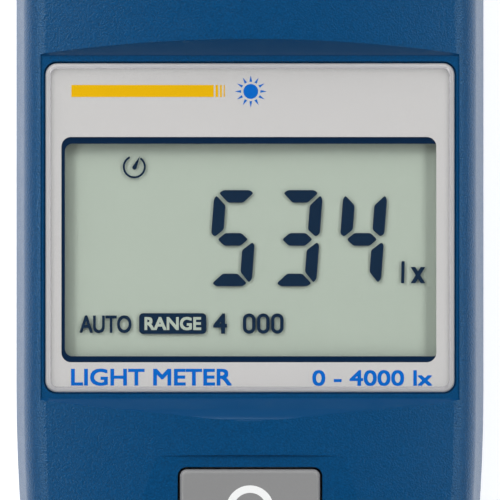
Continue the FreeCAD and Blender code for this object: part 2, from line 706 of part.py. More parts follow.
def cell(x, way):
    """An AAA cell with its nub on the contact at the end that way points to."""
    tip = (BAY_TOP - CONTACT_THICK) if way > 0 else (BAY_END + CONTACT_THICK)
    face = tip - way * CELL_NUB
    tail = face - way * CELL_BODY
    y0, y1 = sorted((face, tail))
    body = barrel(x, CELL_Z, CELL_RADIUS, y0, y1)
    body = body.makeFillet(0.5, rim_edges(body, lambda p: p.y < y0 + 0.01 or p.y > y1 - 0.01))
    y0, y1 = sorted((tip, face - way * 0.5))
    return body.fuse(barrel(x, CELL_Z, CELL_NUB_RADIUS, y0, y1))


def battery_spring(x, way):
    """A coil between a cell's flat end and the contact behind it."""
    room = (BAY_TOP - BAY_END) - 2 * CONTACT_THICK - CELL_NUB - CELL_BODY
    length = room - 2 * SPRING_WIRE - 0.1
    helix = Part.makeHelix(length / SPRING_TURNS, length, SPRING_RADIUS)
    section = Part.Wire(
        Part.makeCircle(SPRING_WIRE, Vec(SPRING_RADIUS, 0, 0), Vec(0, 1, 0))
    )
    coil = Part.Wire(helix).makePipeShell([section], True, True)
    start = (BAY_END + CONTACT_THICK) if way > 0 else (BAY_TOP - CONTACT_THICK - room)
    coil.rotate(Vec(0, 0, 0), Vec(1, 0, 0), -90)
    coil.translate(Vec(x, start + SPRING_WIRE + 0.05, CELL_Z))
    return coil


def battery_contacts():
    """Sprung plates at both ends of the bay. The outer ones have tabs up to the board."""
    plates = []
    half = 4.4
    joined = half + CELL_PITCH / 2
    ends = [(BAY_TOP - CONTACT_THICK, BAY_TOP), (BAY_END, BAY_END + CONTACT_THICK)]
    z0, z1 = 3.4, 12.4
    lone_x, pair_x = -CELL_PITCH, CELL_PITCH / 2
    for (y0, y1), side in zip(ends, (1, -1)):
        plates.append(box(side * pair_x - joined, side * pair_x + joined, y0, y1, z0, z1))
        lone = side * lone_x
        plates.append(box(lone - half, lone + half, y0, y1, z0, z1))
        plates[-1] = plates[-1].fuse(box(lone - 1, lone + 1, y0, y1, z1 - 0.5, Z_BOARD))
    return group(plates)


# --- Fasteners and bush -------------------------------------------------------------------------


def screw(x, y, z_seat, length, head_radius=SCREW_HEAD_RADIUS, head=SCREW_HEAD_THICK):
    """A pan-head self-tapping screw, driven upwards, with a cross recess."""
    shank = post(x, y, PILOT_RADIUS, z_seat - head / 2, z_seat + length - 1.2)
    tip = cone(x, y, PILOT_RADIUS, 0.3, z_seat + length - 1.2, z_seat + length)
    cap = post(x, y, head_radius, z_seat - head, z_seat)
    cap = cap.makeFillet(0.5, rim_edges(cap, lambda p: p.z < z_seat - head + 0.01))
    arm, half = head_radius * 0.6, 0.28
    cross = box(x - arm, x + arm, y - half, y + half, z_seat - head - 1, z_seat - head + 1.0)
    cross = cross.fuse(box(x - half, x + half, y - arm, y + arm, z_seat - head - 1, z_seat - head + 1.0))
    return union([shank, tip, cap]).cut(cross)


def tripod_bush():
    z0 = BUSH_RECESS
    body = post(0, BUSH_Y, BUSH_RADIUS, z0, z0 + BUSH_HEIGHT)
    mouth = cone(0, BUSH_Y, BUSH_BORE + 0.5, BUSH_BORE, z0 - 0.01, z0 + 0.5)
    return cut_all(body, [post(0, BUSH_Y, BUSH_BORE, z0 - 1, z0 + BUSH_BORE_DEPTH), mouth])


# --- Sensor head --------------------------------------------------------------------------------


def flange_grip():
    """The slot that the spindle's head flange sits in."""
    y0 = Y_SPLIT + SPLIT_GAP / 2 + END_WALL
    return barrel(0, Z_PARTING, HEAD_FLANGE_RADIUS, y0, y0 + HEAD_FLANGE_THICK)


def head_rib(form):
    """A wall behind the flange, half on each shell, that locks the spindle to the head."""
    y0 = Y_SPLIT + SPLIT_GAP / 2 + END_WALL + HEAD_FLANGE_THICK
    return box(-14, 14, y0, y0 + 1.8, -5, 60).common(form)


def head_front_shell(form, middle, hollow):
    seat = post(0, Y_SENSOR, RING_RADIUS + 1.6, Z_SEAT - SEAT_SHELF, 60)
    cavity = head_part(hollow, END_WALL).cut(seat)
    shell = head_part(form).cut(cavity)
    inside = head_part(middle)
    bosses = [post(x, y, BOSS_RADIUS, Z_PARTING, DEPTH).common(inside) for x, y in HEAD_SCREWS]
    shell = union([shell, head_rib(inside)] + bosses)
    pocket = post(0, Y_SENSOR, RING_RADIUS + 0.15, Z_SEAT, 60)
    light_way = post(0, Y_SENSOR, LIGHT_HOLE, Z_SEAT - SEAT_SHELF - 1, 60)
    pilots = [post(x, y, PILOT_RADIUS, Z_PARTING - 1, Z_PARTING + 7.5) for x, y in HEAD_SCREWS]
    through = barrel(0, Z_PARTING, SPINDLE_RADIUS, Y_SPLIT - 6, Y_SPLIT + 12)
    return cut_all(shell, [pocket, light_way, through, flange_grip()] + pilots)


def head_rear_shell(form, middle, hollow):
    shell = head_part(form).cut(head_part(hollow, END_WALL))
    tubes = [screw_tube(x, y, back_z(y)) for x, y in HEAD_SCREWS]
    stand = [post(x, Y_SENSOR, 2.4, back_z(Y_SENSOR) + WALL / 2, Z_PARTING) for x in (-SENSOR_POST_X, SENSOR_POST_X)]
    pin_top = Z_SENSOR_BOARD + BOARD_THICK + 0.5
    pins = [post(x, Y_SENSOR, PILOT_RADIUS, Z_PARTING - 1, pin_top) for x in (-SENSOR_POST_X, SENSOR_POST_X)]
    shell = union([shell, head_rib(head_part(middle))] + tubes + stand + pins)
    holes = [screw_hole(x, y, back_z(y)) for x, y in HEAD_SCREWS]
    through = barrel(0, Z_PARTING, SPINDLE_RADIUS, Y_SPLIT - 6, Y_SPLIT + 12)
    return cut_all(shell, [through, flange_grip()] + holes)


def diffuser_dome():
    """Opal dome with a flange that the ring holds down."""
    z0 = Z_SEAT + GASKET_THICK
    z_wall = z0 + 2.2
    rise = DOME_SPHERE - math.sqrt(DOME_SPHERE**2 - DOME_RADIUS**2)
    z_sphere = z_wall + rise - DOME_SPHERE

    def cap(radius, sphere):
        reach = math.sqrt(sphere**2 - radius**2) + z_sphere
        lid = Part.Arc(
            Vec(radius, 0, reach),
            Vec(sphere * math.sin(math.asin(radius / sphere) / 2), 0,
                z_sphere + sphere * math.cos(math.asin(radius / sphere) / 2)),
            Vec(0, 0, z_sphere + sphere),
        ).toShape()
        sides = Part.makePolygon(
            [Vec(0, 0, z_sphere + sphere), Vec(0, 0, z0), Vec(radius, 0, z0), Vec(radius, 0, reach)]
        )
        face = Part.Face(Part.Wire(Part.__sortEdges__([lid] + sides.Edges)))
        solid = face.revolve(Vec(0, 0, 0), Vec(0, 0, 1), 360)
        solid.translate(Vec(0, Y_SENSOR, 0))
        return solid

    outer = cap(DOME_RADIUS, DOME_SPHERE)
    outer = outer.makeFillet(1.0, rim_edges(outer, lambda p: abs(p.z - z_wall) < 0.01))
    flange = post(0, Y_SENSOR, DOME_FLANGE, z0, z0 + 1.0)
    return outer.fuse(flange).cut(cap(DOME_RADIUS - DOME_SKIN, DOME_SPHERE - DOME_SKIN)).removeSplitter()


def diffuser_ring():
    z0 = Z_SEAT + GASKET_THICK
    top = Z_SEAT + RING_HEIGHT
    outer = RING_RADIUS
    profile = [
        (DOME_FLANGE + 0.1, z0), (outer, z0), (outer, top - 0.5), (outer - 0.5, top),
        (RING_INNER + 1.3, top), (RING_INNER, top - 0.9), (RING_INNER, z0 + 1.0),
        (DOME_FLANGE + 0.1, z0 + 1.0),
    ]
    return ring_of(profile, 0, Y_SENSOR)


def sensor_stack():
    """Board, photodiode, colour filter and the black tube that holds the filter."""
    board_top = Z_SENSOR_BOARD + BOARD_THICK
    filter_z = board_top + 3.4
    board = post(0, Y_SENSOR, SENSOR_BOARD_RADIUS, Z_SENSOR_BOARD, board_top)
    board = board.cut([post(x, Y_SENSOR, PILOT_RADIUS + 0.15, 0, 40) for x in (-SENSOR_POST_X, SENSOR_POST_X)])
    diode = box(-5, 5, Y_SENSOR - 5, Y_SENSOR + 5, board_top, board_top + 2.0)
    diode = diode.cut(box(-3.8, 3.8, Y_SENSOR - 3.8, Y_SENSOR + 3.8, board_top + 1.2, board_top + 3))
    cell_face = box(-3.6, 3.6, Y_SENSOR - 3.6, Y_SENSOR + 3.6, board_top + 1.2, board_top + 1.6)
    holder_profile = [
        (7.6, board_top), (9.0, board_top), (9.0, filter_z + 2.4),
        (7.4, filter_z + 2.4), (7.4, filter_z), (6.2, filter_z), (6.2, filter_z - 0.8), (7.6, filter_z - 0.8),
    ]
    return {
        "sensor_board": board,
        "photodiode_case": diode,
        "photodiode_cell": cell_face,
        "filter_holder": ring_of(holder_profile, 0, Y_SENSOR),
        "colour_filter": post(0, Y_SENSOR, 7.3, filter_z, filter_z + 1.6),
    }


def swivel_spindle():
    """Hollow spindle: a flange in each half, and a tab on the case's flange that meets the stop."""
    case_wall = Y_SPLIT - SPLIT_GAP / 2 - END_WALL
    flange_far = case_wall - WASHER_SPACE
    flange_near = flange_far - CASE_FLANGE_THICK
    head_wall = Y_SPLIT + SPLIT_GAP / 2 + END_WALL
    shaft = barrel(0, Z_PARTING, SPINDLE_RADIUS, flange_near, head_wall + HEAD_FLANGE_THICK + 1.8)
    case_flange = barrel(0, Z_PARTING, CASE_FLANGE_RADIUS, flange_near, flange_far)
    head_flange = barrel(0, Z_PARTING, HEAD_FLANGE_RADIUS, head_wall, head_wall + HEAD_FLANGE_THICK)
    tab = box(-1.5, 1.5, flange_near, flange_far, Z_PARTING - STOP_REACH, Z_PARTING - CASE_FLANGE_RADIUS + 1)
    bore = barrel(0, Z_PARTING, SPINDLE_BORE, flange_near - 1, head_wall + HEAD_FLANGE_THICK + 3)
    return cut_all(union([shaft, case_flange, head_flange, tab]), [bore])


def spring_washer():
    """A coned washer that keeps the swivel stiff."""
    wall = Y_SPLIT - SPLIT_GAP / 2 - END_WALL
    inner, outer, thick, dish = SPINDLE_RADIUS + 0.3, 8.8, 0.4, 0.5
    profile = [(inner, 0), (inner, thick), (outer, thick + dish), (outer, dish)]
    points = [Vec(r, 0, z) for r, z in profile]
    face = Part.Face(Part.makePolygon(points + points[:1]))
    washer = face.revolve(Vec(0, 0, 0), Vec(0, 0, 1), 360)
    washer.rotate(Vec(0, 0, 0), Vec(1, 0, 0), -90)
    washer.translate(Vec(0, wall - thick - dish - 0.05, Z_PARTING))
    return washer


def bent_tube(points, radius, bend):
    """A round cable along straight runs in the YZ plane, with an arc of radius bend at each corner."""
    spots = [Vec(0, y, z) for y, z in points]
    edges = []
    last = spots[0]
    for before, corner, after in zip(spots, spots[1:], spots[2:]):
        towards, away = (corner - before).normalize(), (after - corner).normalize()
        turn = towards.getAngle(away)
        back = bend * math.tan(turn / 2)
        start, end = corner - towards * back, corner + away * back
        inward = (away - towards).normalize()
        middle = corner + inward * (bend / math.cos(turn / 2) - bend)
        edges.append(Part.makeLine(last, start))
        edges.append(Part.Arc(start, middle, end).toShape())
        last = end
    edges.append(Part.makeLine(last, spots[-1]))
    path = Part.Wire(edges)
    section = Part.Wire(Part.makeCircle(radius, spots[0], spots[1] - spots[0]))
    return path.makePipeShell([section], True, True)


def sensor_cables():
    """The photodiode's cable, parted inside the spindle where the head turns against the case."""
    z_plug = Z_BOARD_TOP + 2.1
    z_axis = Z_PARTING
    case_run = [(23.4, z_plug), (27.6, z_plug), (31.0, z_axis), (Y_SPLIT - 0.2, z_axis)]
    z_low, y_up = z_axis - 2.6, Y_SPLIT + 15.5
    head_run = [
        (Y_SPLIT + 0.2, z_axis), (Y_SPLIT + 8.0, z_axis), (Y_SPLIT + 11.0, z_low), (y_up, z_low),
        (y_up, Z_SENSOR_BOARD - 0.1),
    ]
    return {
        "sensor_cable_case": bent_tube(case_run, CABLE_RADIUS, 3.0),
        "sensor_cable_head": bent_tube(head_run, CABLE_RADIUS, 1.6),
    }


# --- Everything ---------------------------------------------------------------------------------


def all_parts():
    front, rear = (
        [form(inset) for inset in (0.0, WALL / 2, WALL)] for form in (front_form, rear_form)
    )
    seat = COUNTERBORE_DEPTH
    parts = {
        "front_shell": front_shell(*front),
        "rear_shell": rear_shell(*rear),
        "display_lens": display_lens(),
        "face_sheet": face_sheet(),
        "key_mat": key_mat(),
        "carbon_pills": carbon_pills(),
        "main_board": main_board(),
        "battery_door": battery_door(),
        "battery_cells": group(cell(x, way) for x, way in cell_lanes()),
        "battery_springs": group(battery_spring(x, way) for x, way in cell_lanes()),
        "battery_contacts": battery_contacts(),
        "case_screws": group(screw(x, y, seat, CASE_SCREW_LENGTH) for x, y in CASE_SCREWS),
        "board_screws": group(
            screw(x, y, Z_BOARD, BOARD_SCREW_LENGTH, 2.0, 1.2) for x, y in BOARD_SCREWS
        ),
        "tripod_bush": tripod_bush(),
        "head_front_shell": head_front_shell(*front),
        "head_rear_shell": head_rear_shell(*rear),
        "head_screws": group(
            screw(x, y, back_z(y) + seat, CASE_SCREW_LENGTH - back_z(y)) for x, y in HEAD_SCREWS
        ),
        "diffuser_dome": diffuser_dome(),
        "diffuser_ring": diffuser_ring(),
        "dome_gasket": tube(0, Y_SENSOR, RING_RADIUS - 0.2, DOME_RADIUS, Z_SEAT, Z_SEAT + GASKET_THICK),
        "swivel_spindle": swivel_spindle(),
        "spring_washer": spring_washer(),
    }
    for name, (x, y, width, height) in KEYS.items():
        parts[name] = key_cap(x, y, width, height)
    parts.update(display_stack())
    parts.update(board_parts())
    parts.update(sensor_stack())
    parts.update(sensor_cables())
    return parts


def main():
    os.makedirs("parts", exist_ok=True)
    for name, shape in all_parts().items():
        solids = shape.Solids
        bad = not solids or any(not s.isValid() or s.Volume <= 0 for s in solids)
        print(name, len(solids), "BAD" if bad else round(sum(s.Volume for s in solids), 1))
        shape.exportStep(f"parts/{name}.step")


main()
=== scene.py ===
import json
import math

import bmesh
import bpy
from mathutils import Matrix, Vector
from mathutils.geometry import delaunay_2d_cdt


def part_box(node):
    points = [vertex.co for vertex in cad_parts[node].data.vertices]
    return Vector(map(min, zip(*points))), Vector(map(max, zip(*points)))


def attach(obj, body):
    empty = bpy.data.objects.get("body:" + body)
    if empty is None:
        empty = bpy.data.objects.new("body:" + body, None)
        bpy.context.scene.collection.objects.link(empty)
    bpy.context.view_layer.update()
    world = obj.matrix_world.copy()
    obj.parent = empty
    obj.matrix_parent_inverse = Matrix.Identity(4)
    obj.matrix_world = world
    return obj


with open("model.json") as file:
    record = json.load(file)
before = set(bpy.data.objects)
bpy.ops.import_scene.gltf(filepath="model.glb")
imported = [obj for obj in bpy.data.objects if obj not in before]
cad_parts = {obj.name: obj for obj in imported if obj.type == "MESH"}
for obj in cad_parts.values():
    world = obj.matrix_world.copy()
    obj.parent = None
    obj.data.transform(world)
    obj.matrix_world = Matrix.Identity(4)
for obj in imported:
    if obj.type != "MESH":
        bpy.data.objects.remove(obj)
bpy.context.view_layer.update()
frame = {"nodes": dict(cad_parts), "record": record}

# Looks for the hand-held light meter. Everything is in metres, in the CAD frame: it lies on its
# back, +X is the user's right, +Y runs from the keypad to the sensor head, and +Z is out of the
# display. Each CAD part stays, with a material of its own. The artwork on them is made here.

MM = 0.001

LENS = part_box("display_lens")
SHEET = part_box("face_sheet")
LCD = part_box("lcd_rear_glass")
LENS_CENTRE = (LENS[0] + LENS[1]) / 2

# The recess round the lens: its level floor, how far that shows beyond the lens, its half width,
# and how much further its sloping end walls reach.
LENS_PROUD = 0.35 * MM  # of that floor
Z_LAND = LENS[1].z - LENS_PROUD
LAND_ABOVE, LAND_BELOW, LAND_HALF = 0.95 * MM, 0.75 * MM, 28.2 * MM
WALL_ABOVE, WALL_BELOW = 2.6 * MM, 3.6 * MM
LEDGE_HALF = LAND_HALF - 1.5 * MM  # the ledge round the display, painted dark as shade, lies inside this


# --- Colours ------------------------------------------------------------------------------------


def srgb(red, green, blue):
    """A screen colour, 0 to 255, as the linear colour that shaders take."""

    def linear(value):
        value /= 255
        return value / 12.92 if value <= 0.04045 else ((value + 0.055) / 1.055) ** 2.4

    return (linear(red), linear(green), linear(blue), 1.0)


CASE_BLUE = srgb(0, 66, 112)
SMOOTH_BLUE = srgb(0, 62, 108)
# Painted shade: the dark blue given to the ledge round the display, where the lens's window looks
# into the case.
LEDGE_SHADE_BLUE = srgb(0, 30, 62)
PRINT_SILVER = srgb(208, 206, 204)
PRINT_BLUE = srgb(0, 104, 200)
PRINT_YELLOW = srgb(236, 184, 0)
KEY_GREY = srgb(138, 138, 138)
LCD_SAGE = srgb(180, 192, 178)
LCD_INK = srgb(0, 34, 62)
WHITE_INK = srgb(240, 241, 240)
ARROW_BLUE = srgb(128, 158, 188)


# --- Materials ----------------------------------------------------------------------------------


class Shader:
    """A material's nodes."""

    def __init__(self, name):
        self.material = bpy.data.materials.new(name)
        self.material.use_nodes = True
        self.tree = self.material.node_tree
        self.tree.nodes.clear()
        self.place = self.add("ShaderNodeTexCoord")

    def add(self, kind, inputs=None, **settings):
        node = self.tree.nodes.new(kind)
        for key, value in settings.items():
            setattr(node, key, value)
        for key, value in (inputs or {}).items():
            if isinstance(value, bpy.types.NodeSocket):
                self.tree.links.new(value, node.inputs[key])
            else:
                node.inputs[key].default_value = value
        return node

    def math(self, operation, *values):
        return self.add("ShaderNodeMath", dict(enumerate(values)), operation=operation).outputs[0]

    def every(self, *tests):
        """1 where every test is 1."""
        met = tests[0]
        for test in tests[1:]:
            met = self.math("MULTIPLY", met, test)
        return met

    def noise(self, size, detail, roughness=0.5, stretch=None):
        """Noise whose blotches are about size across."""
        vector = self.place.outputs["Object"]
        if stretch:
            vector = self.add("ShaderNodeMapping", {"Vector": vector, "Scale": stretch}).outputs[0]
        inputs = {"Vector": vector, "Scale": 1 / size, "Detail": detail, "Roughness": roughness}
        return self.add("ShaderNodeTexNoise", inputs).outputs["Fac"]

    def scaled(self, value, low, high):
        """value from 0 to 1, spread from low to high."""
        inputs = {"Value": value, "To Min": low, "To Max": high}
        return self.add("ShaderNodeMapRange", inputs).outputs[0]

    def step(self, value, edge, softness):
        """0 below edge, 1 above it, easing over softness."""
        inputs = {"Value": value, "From Min": edge - softness / 2, "From Max": edge + softness / 2}
        return self.add("ShaderNodeMapRange", inputs).outputs[0]

    # A colour mix node has its two colours in sockets 6 and 7, and its result in output 2.

    def mix(self, factor, first, second):
        inputs = {"Factor": factor, 6: first, 7: second}
        return self.add("ShaderNodeMix", inputs, data_type="RGBA").outputs[2]

    def shade(self, colour, factor):
        """colour made lighter or darker by factor."""
        grey = self.add("ShaderNodeCombineColor", {"Red": factor, "Green": factor, "Blue": factor})
        inputs = {"Factor": 1.0, 6: colour, 7: grey.outputs[0]}
        return self.add("ShaderNodeMix", inputs, data_type="RGBA", blend_type="MULTIPLY").outputs[2]

    def bump(self, height, depth):
        inputs = {"Height": height, "Distance": depth, "Strength": 1.0}
        return self.add("ShaderNodeBump", inputs).outputs[0]

    def principled(self, **inputs):
        sockets = {key.replace("_", " "): value for key, value in inputs.items()}
        return self.add("ShaderNodeBsdfPrincipled", sockets)

    def finish(self, shader):
        self.add("ShaderNodeOutputMaterial", {"Surface": shader.outputs[0]})
        return self.material


def moulded(name, colour, roughness, grain=0.3 * MM, depth=0.008 * MM, mottle=0.05):
    """Moulded plastic or rubber: a fine grain, a slight mottle in its colour, and uneven gloss."""
    s = Shader(name)
    fine, broad = s.noise(grain, 3.0, 0.6), s.noise(14 * MM, 3.0)
    tone = s.math("ADD", s.scaled(fine, 1 - mottle, 1 + mottle), s.scaled(broad, -mottle, mottle))
    return s.finish(
        s.principled(
            Base_Color=s.shade(colour, tone),
            Roughness=s.scaled(broad, roughness - 0.05, roughness + 0.05),
            Normal=s.bump(fine, depth),
        )
    )


def metal(name, colour, roughness, brushed=(1, 1, 1)):
    """Bare metal with fine lines or grain and a slight stain."""
    s = Shader(name)
    lines, stain = s.noise(0.12 * MM, 3.0, 0.6, brushed), s.noise(3 * MM, 3.0)
    dull = s.scaled(stain, roughness - 0.05, roughness + 0.08)
    return s.finish(
        s.principled(
            Base_Color=s.shade(colour, s.scaled(stain, 0.86, 1.06)),
            Metallic=1.0,
            Roughness=s.math("ADD", s.scaled(lines, -0.08, 0.08), dull),
            Normal=s.bump(lines, 0.003 * MM),
        )
    )


def case_plastic():
    """Spark-grained blue ABS. The walls of the display recess are smooth, and the ledge round the
    display under the lens has painted shade, a dark blue.
    """
    s = Shader("case_abs")
    grain = s.noise(0.24 * MM, 2.0, 0.5)
    broad, stain = s.noise(22 * MM, 3.0), s.noise(1.6 * MM, 3.0)

    where = s.add("ShaderNodeSeparateXYZ", {"Vector": s.place.outputs["Object"]}).outputs
    facing = s.add("ShaderNodeSeparateXYZ", {"Vector": s.place.outputs["Normal"]}).outputs
    across, soft = s.math("ABSOLUTE", where["X"]), 0.02 * MM
    smooth = s.every(
        s.step(s.math("ABSOLUTE", facing["Y"]), 0.16, 0.1),  # on a slope
        s.math("LESS_THAN", across, LAND_HALF + soft),
        s.math("GREATER_THAN", where["Y"], LENS[0].y - LAND_BELOW - WALL_BELOW),
        s.math("LESS_THAN", where["Y"], LENS[1].y + LAND_ABOVE + WALL_ABOVE),
        s.math("GREATER_THAN", where["Z"], Z_LAND - soft),
    )
    # Painted shade: the ledge and sides of the display opening below the face sheet get a dark blue
    # in place of the shadow there.
    shaded_ledge = s.every(
        s.math("LESS_THAN", where["Z"], SHEET[0].z + soft),
        s.math("GREATER_THAN", where["Z"], LCD[0].z),
        s.math("LESS_THAN", across, LEDGE_HALF),
        s.math("GREATER_THAN", where["Y"], LENS[0].y),
        s.math("LESS_THAN", where["Y"], LENS[1].y),
    )

    # The grain reads deeper where the case rolls over into its sides.
    rolling = s.step(s.math("SUBTRACT", 1.0, facing["Z"]), 0.018, 0.018)
    relief = s.math("MULTIPLY", s.math("SUBTRACT", 1.0, smooth), s.scaled(rolling, 0.65, 1.4))
    tone = s.math("ADD", s.scaled(grain, 0.45, 1.5), s.scaled(broad, -0.03, 0.03))
    textured = s.mix(shaded_ledge, s.shade(CASE_BLUE, tone), LEDGE_SHADE_BLUE)
    gloss = s.math("ADD", s.scaled(stain, 0.29, 0.37), s.scaled(broad, -0.01, 0.01))
    return s.finish(
        s.principled(
            Base_Color=s.mix(smooth, textured, SMOOTH_BLUE),
            Roughness=s.math("SUBTRACT", gloss, s.math("MULTIPLY", smooth, 0.12)),
            Normal=s.bump(s.math("MULTIPLY", grain, relief), 0.07 * MM),
            Specular_Tint=(0.6, 0.87, 1.0, 1.0),
        )
    )


def see_through(s, cover, body):
    """body, laid over what is behind it by cover, which counts on the outer side only."""
    outside = s.math("SUBTRACT", 1.0, s.add("ShaderNodeNewGeometry").outputs["Backfacing"])
    bare = s.add("ShaderNodeBsdfTransparent")
    inputs = {"Fac": s.math("MULTIPLY", cover, outside), 1: bare.outputs[0], 2: body.outputs[0]}
    return s.finish(s.add("ShaderNodeMixShader", inputs))


def clear_lens():
    """Clear acrylic. Its flat face hardly shows, and its rolled edge has painted highlights and
    painted shade lines, set by how far it tilts.
    """
    s = Shader("lens_acrylic")
    facing = s.add("ShaderNodeSeparateXYZ", {"Vector": s.place.outputs["Normal"]}).outputs["Z"]
    tilt = s.math("SUBTRACT", 1.0, facing)  # 0 on the flat face, 1 on the upright side
    edge = s.add("ShaderNodeValToRGB", {"Fac": tilt})
    ramp = edge.color_ramp
    # Painted highlights and shade: bands of white, grey and dark teal on the rolled edge, set by its
    # tilt, stand in for the light that the edge bends and reflects.
    stops = [
        (0.0, (1, 1, 1, 1)), (0.03, srgb(176, 174, 178)), (0.10, srgb(184, 182, 184)),
        (0.22, srgb(214, 212, 212)), (0.55, srgb(212, 211, 208)), (0.72, srgb(236, 240, 242)),
        (0.88, srgb(240, 248, 250)), (1.0, srgb(100, 128, 146)),
    ]
    ramp.elements[0].position, ramp.elements[0].color = stops[0]
    ramp.elements[1].position, ramp.elements[1].color = stops[-1]
    for position, colour in stops[1:-1]:
        ramp.elements.new(position).color = colour
    rolled = s.math("MULTIPLY", s.step(tilt, 0.02, 0.02), s.step(facing, -0.3, 0.4))
    smudge = s.noise(9 * MM, 4.0)
    gloss = s.add("ShaderNodeFresnel", {"IOR": 1.49}).outputs[0]
    body = s.principled(
        Base_Color=edge.outputs[0], Metallic=s.math("SUBTRACT", 1.0, rolled), IOR=1.49,
        Roughness=s.scaled(smudge, 0.05, 0.10), Normal=s.bump(smudge, 0.002 * MM),
    )
    return see_through(s, s.math("MAXIMUM", gloss, s.math("MULTIPLY", rolled, 0.72)), body)


def thin_clear(name, colour, body):
    """A clear sheet or glass. body is how much of its own colour shows."""
    s = Shader(name)
    haze = s.noise(5 * MM, 3.0)
    film = s.principled(
        Base_Color=s.shade(colour, s.scaled(haze, 0.94, 1.04)), Roughness=s.scaled(haze, 0.10, 0.2)
    )
    return see_through(s, s.scaled(haze, body * 0.9, body * 1.1), film)


def silver_print():
    """Silver ink screened on the back of a clear sheet: fine metallic specks on a warm light grey."""
    s = Shader("silver_ink")
    specks, cloud = s.noise(0.16 * MM, 2.0, 0.7), s.noise(12 * MM, 2.0)
    tone = s.math("ADD", s.scaled(specks, 0.90, 1.08), s.scaled(cloud, -0.015, 0.015))
    return s.finish(
        s.principled(
            Base_Color=s.shade(PRINT_SILVER, tone), Roughness=s.scaled(specks, 0.42, 0.56),
            Normal=s.bump(specks, 0.004 * MM),
        )
    )


def ink(name, colour, roughness=0.5):
    """Screen ink, with the slight unevenness of a printed film."""
    s = Shader(name)
    dots = s.noise(0.12 * MM, 2.0, 0.6)
    return s.finish(
        s.principled(
            Base_Color=s.shade(colour, s.scaled(dots, 0.93, 1.07)), Roughness=roughness,
            Normal=s.bump(dots, 0.002 * MM), Specular_IOR_Level=0.12,
        )
    )


def lcd_ground():
    """The reflector seen through its glass: a grey sage with a faint fleck."""
    s = Shader("lcd_reflective")
    fleck, cloud = s.noise(0.10 * MM, 1.0), s.noise(18 * MM, 2.0)
    tone = s.math("ADD", s.scaled(fleck, 0.96, 1.04), s.scaled(cloud, -0.02, 0.02))
    return s.finish(
        s.principled(
            Base_Color=s.shade(LCD_SAGE, tone), Roughness=s.scaled(fleck, 0.5, 0.6),
            Normal=s.bump(fleck, 0.001 * MM),
        )
    )


def opal():
    """White diffusing plastic that light soaks into."""
    s = Shader("opal_diffuser")
    cloud, fine = s.noise(6 * MM, 2.0), s.noise(0.2 * MM, 2.0)
    return s.finish(
        s.principled(
            Base_Color=s.shade(srgb(243, 242, 236), s.scaled(cloud, 0.97, 1.02)),
            Roughness=s.scaled(fine, 0.34, 0.44), Normal=s.bump(fine, 0.003 * MM),
            Subsurface_Weight=0.35, Subsurface_Scale=2.5 * MM, Subsurface_Radius=(1.0, 0.9, 0.8),
        )
    )


def circuit_board():
    """Green solder mask over copper tracks."""
    s = Shader("solder_mask")
    tracks = s.add(
        "ShaderNodeTexBrick",
        {
            "Vector": s.place.outputs["Object"], "Scale": 1 / (2.4 * MM), "Mortar Size": 0.06,
            "Color1": srgb(24, 92, 52), "Color2": srgb(20, 84, 48), "Mortar": srgb(48, 132, 78),
        },
    )
    fine = s.noise(0.2 * MM, 2.0)
    return s.finish(
        s.principled(
            Base_Color=tracks.outputs["Color"], Roughness=s.scaled(fine, 0.28, 0.40),
            Normal=s.bump(s.math("ADD", fine, tracks.outputs["Fac"]), 0.006 * MM),
        )
    )


def cell_sleeve():
    """Shrink sleeve on a cell: dark, with a pale band at one end."""
    s = Shader("cell_sleeve")
    along = s.add("ShaderNodeSeparateXYZ", {"Vector": s.place.outputs["Object"]}).outputs["Y"]
    band_end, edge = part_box("battery_cells")[0].y + 15 * MM, 0.05 * MM
    band = s.step(along, band_end, edge)
    fine = s.noise(0.4 * MM, 2.0)
    return s.finish(
        s.principled(
            Base_Color=s.mix(band, srgb(186, 150, 60), srgb(38, 40, 44)),
            Roughness=s.scaled(fine, 0.22, 0.32), Normal=s.bump(fine, 0.003 * MM),
        )
    )


def coat(node, material):
    """Puts material in every slot of a CAD part."""
    part = frame["nodes"][node]
    for holder in part.material_slots:
        holder.material = material
    if not part.material_slots:
        part.data.materials.append(material)


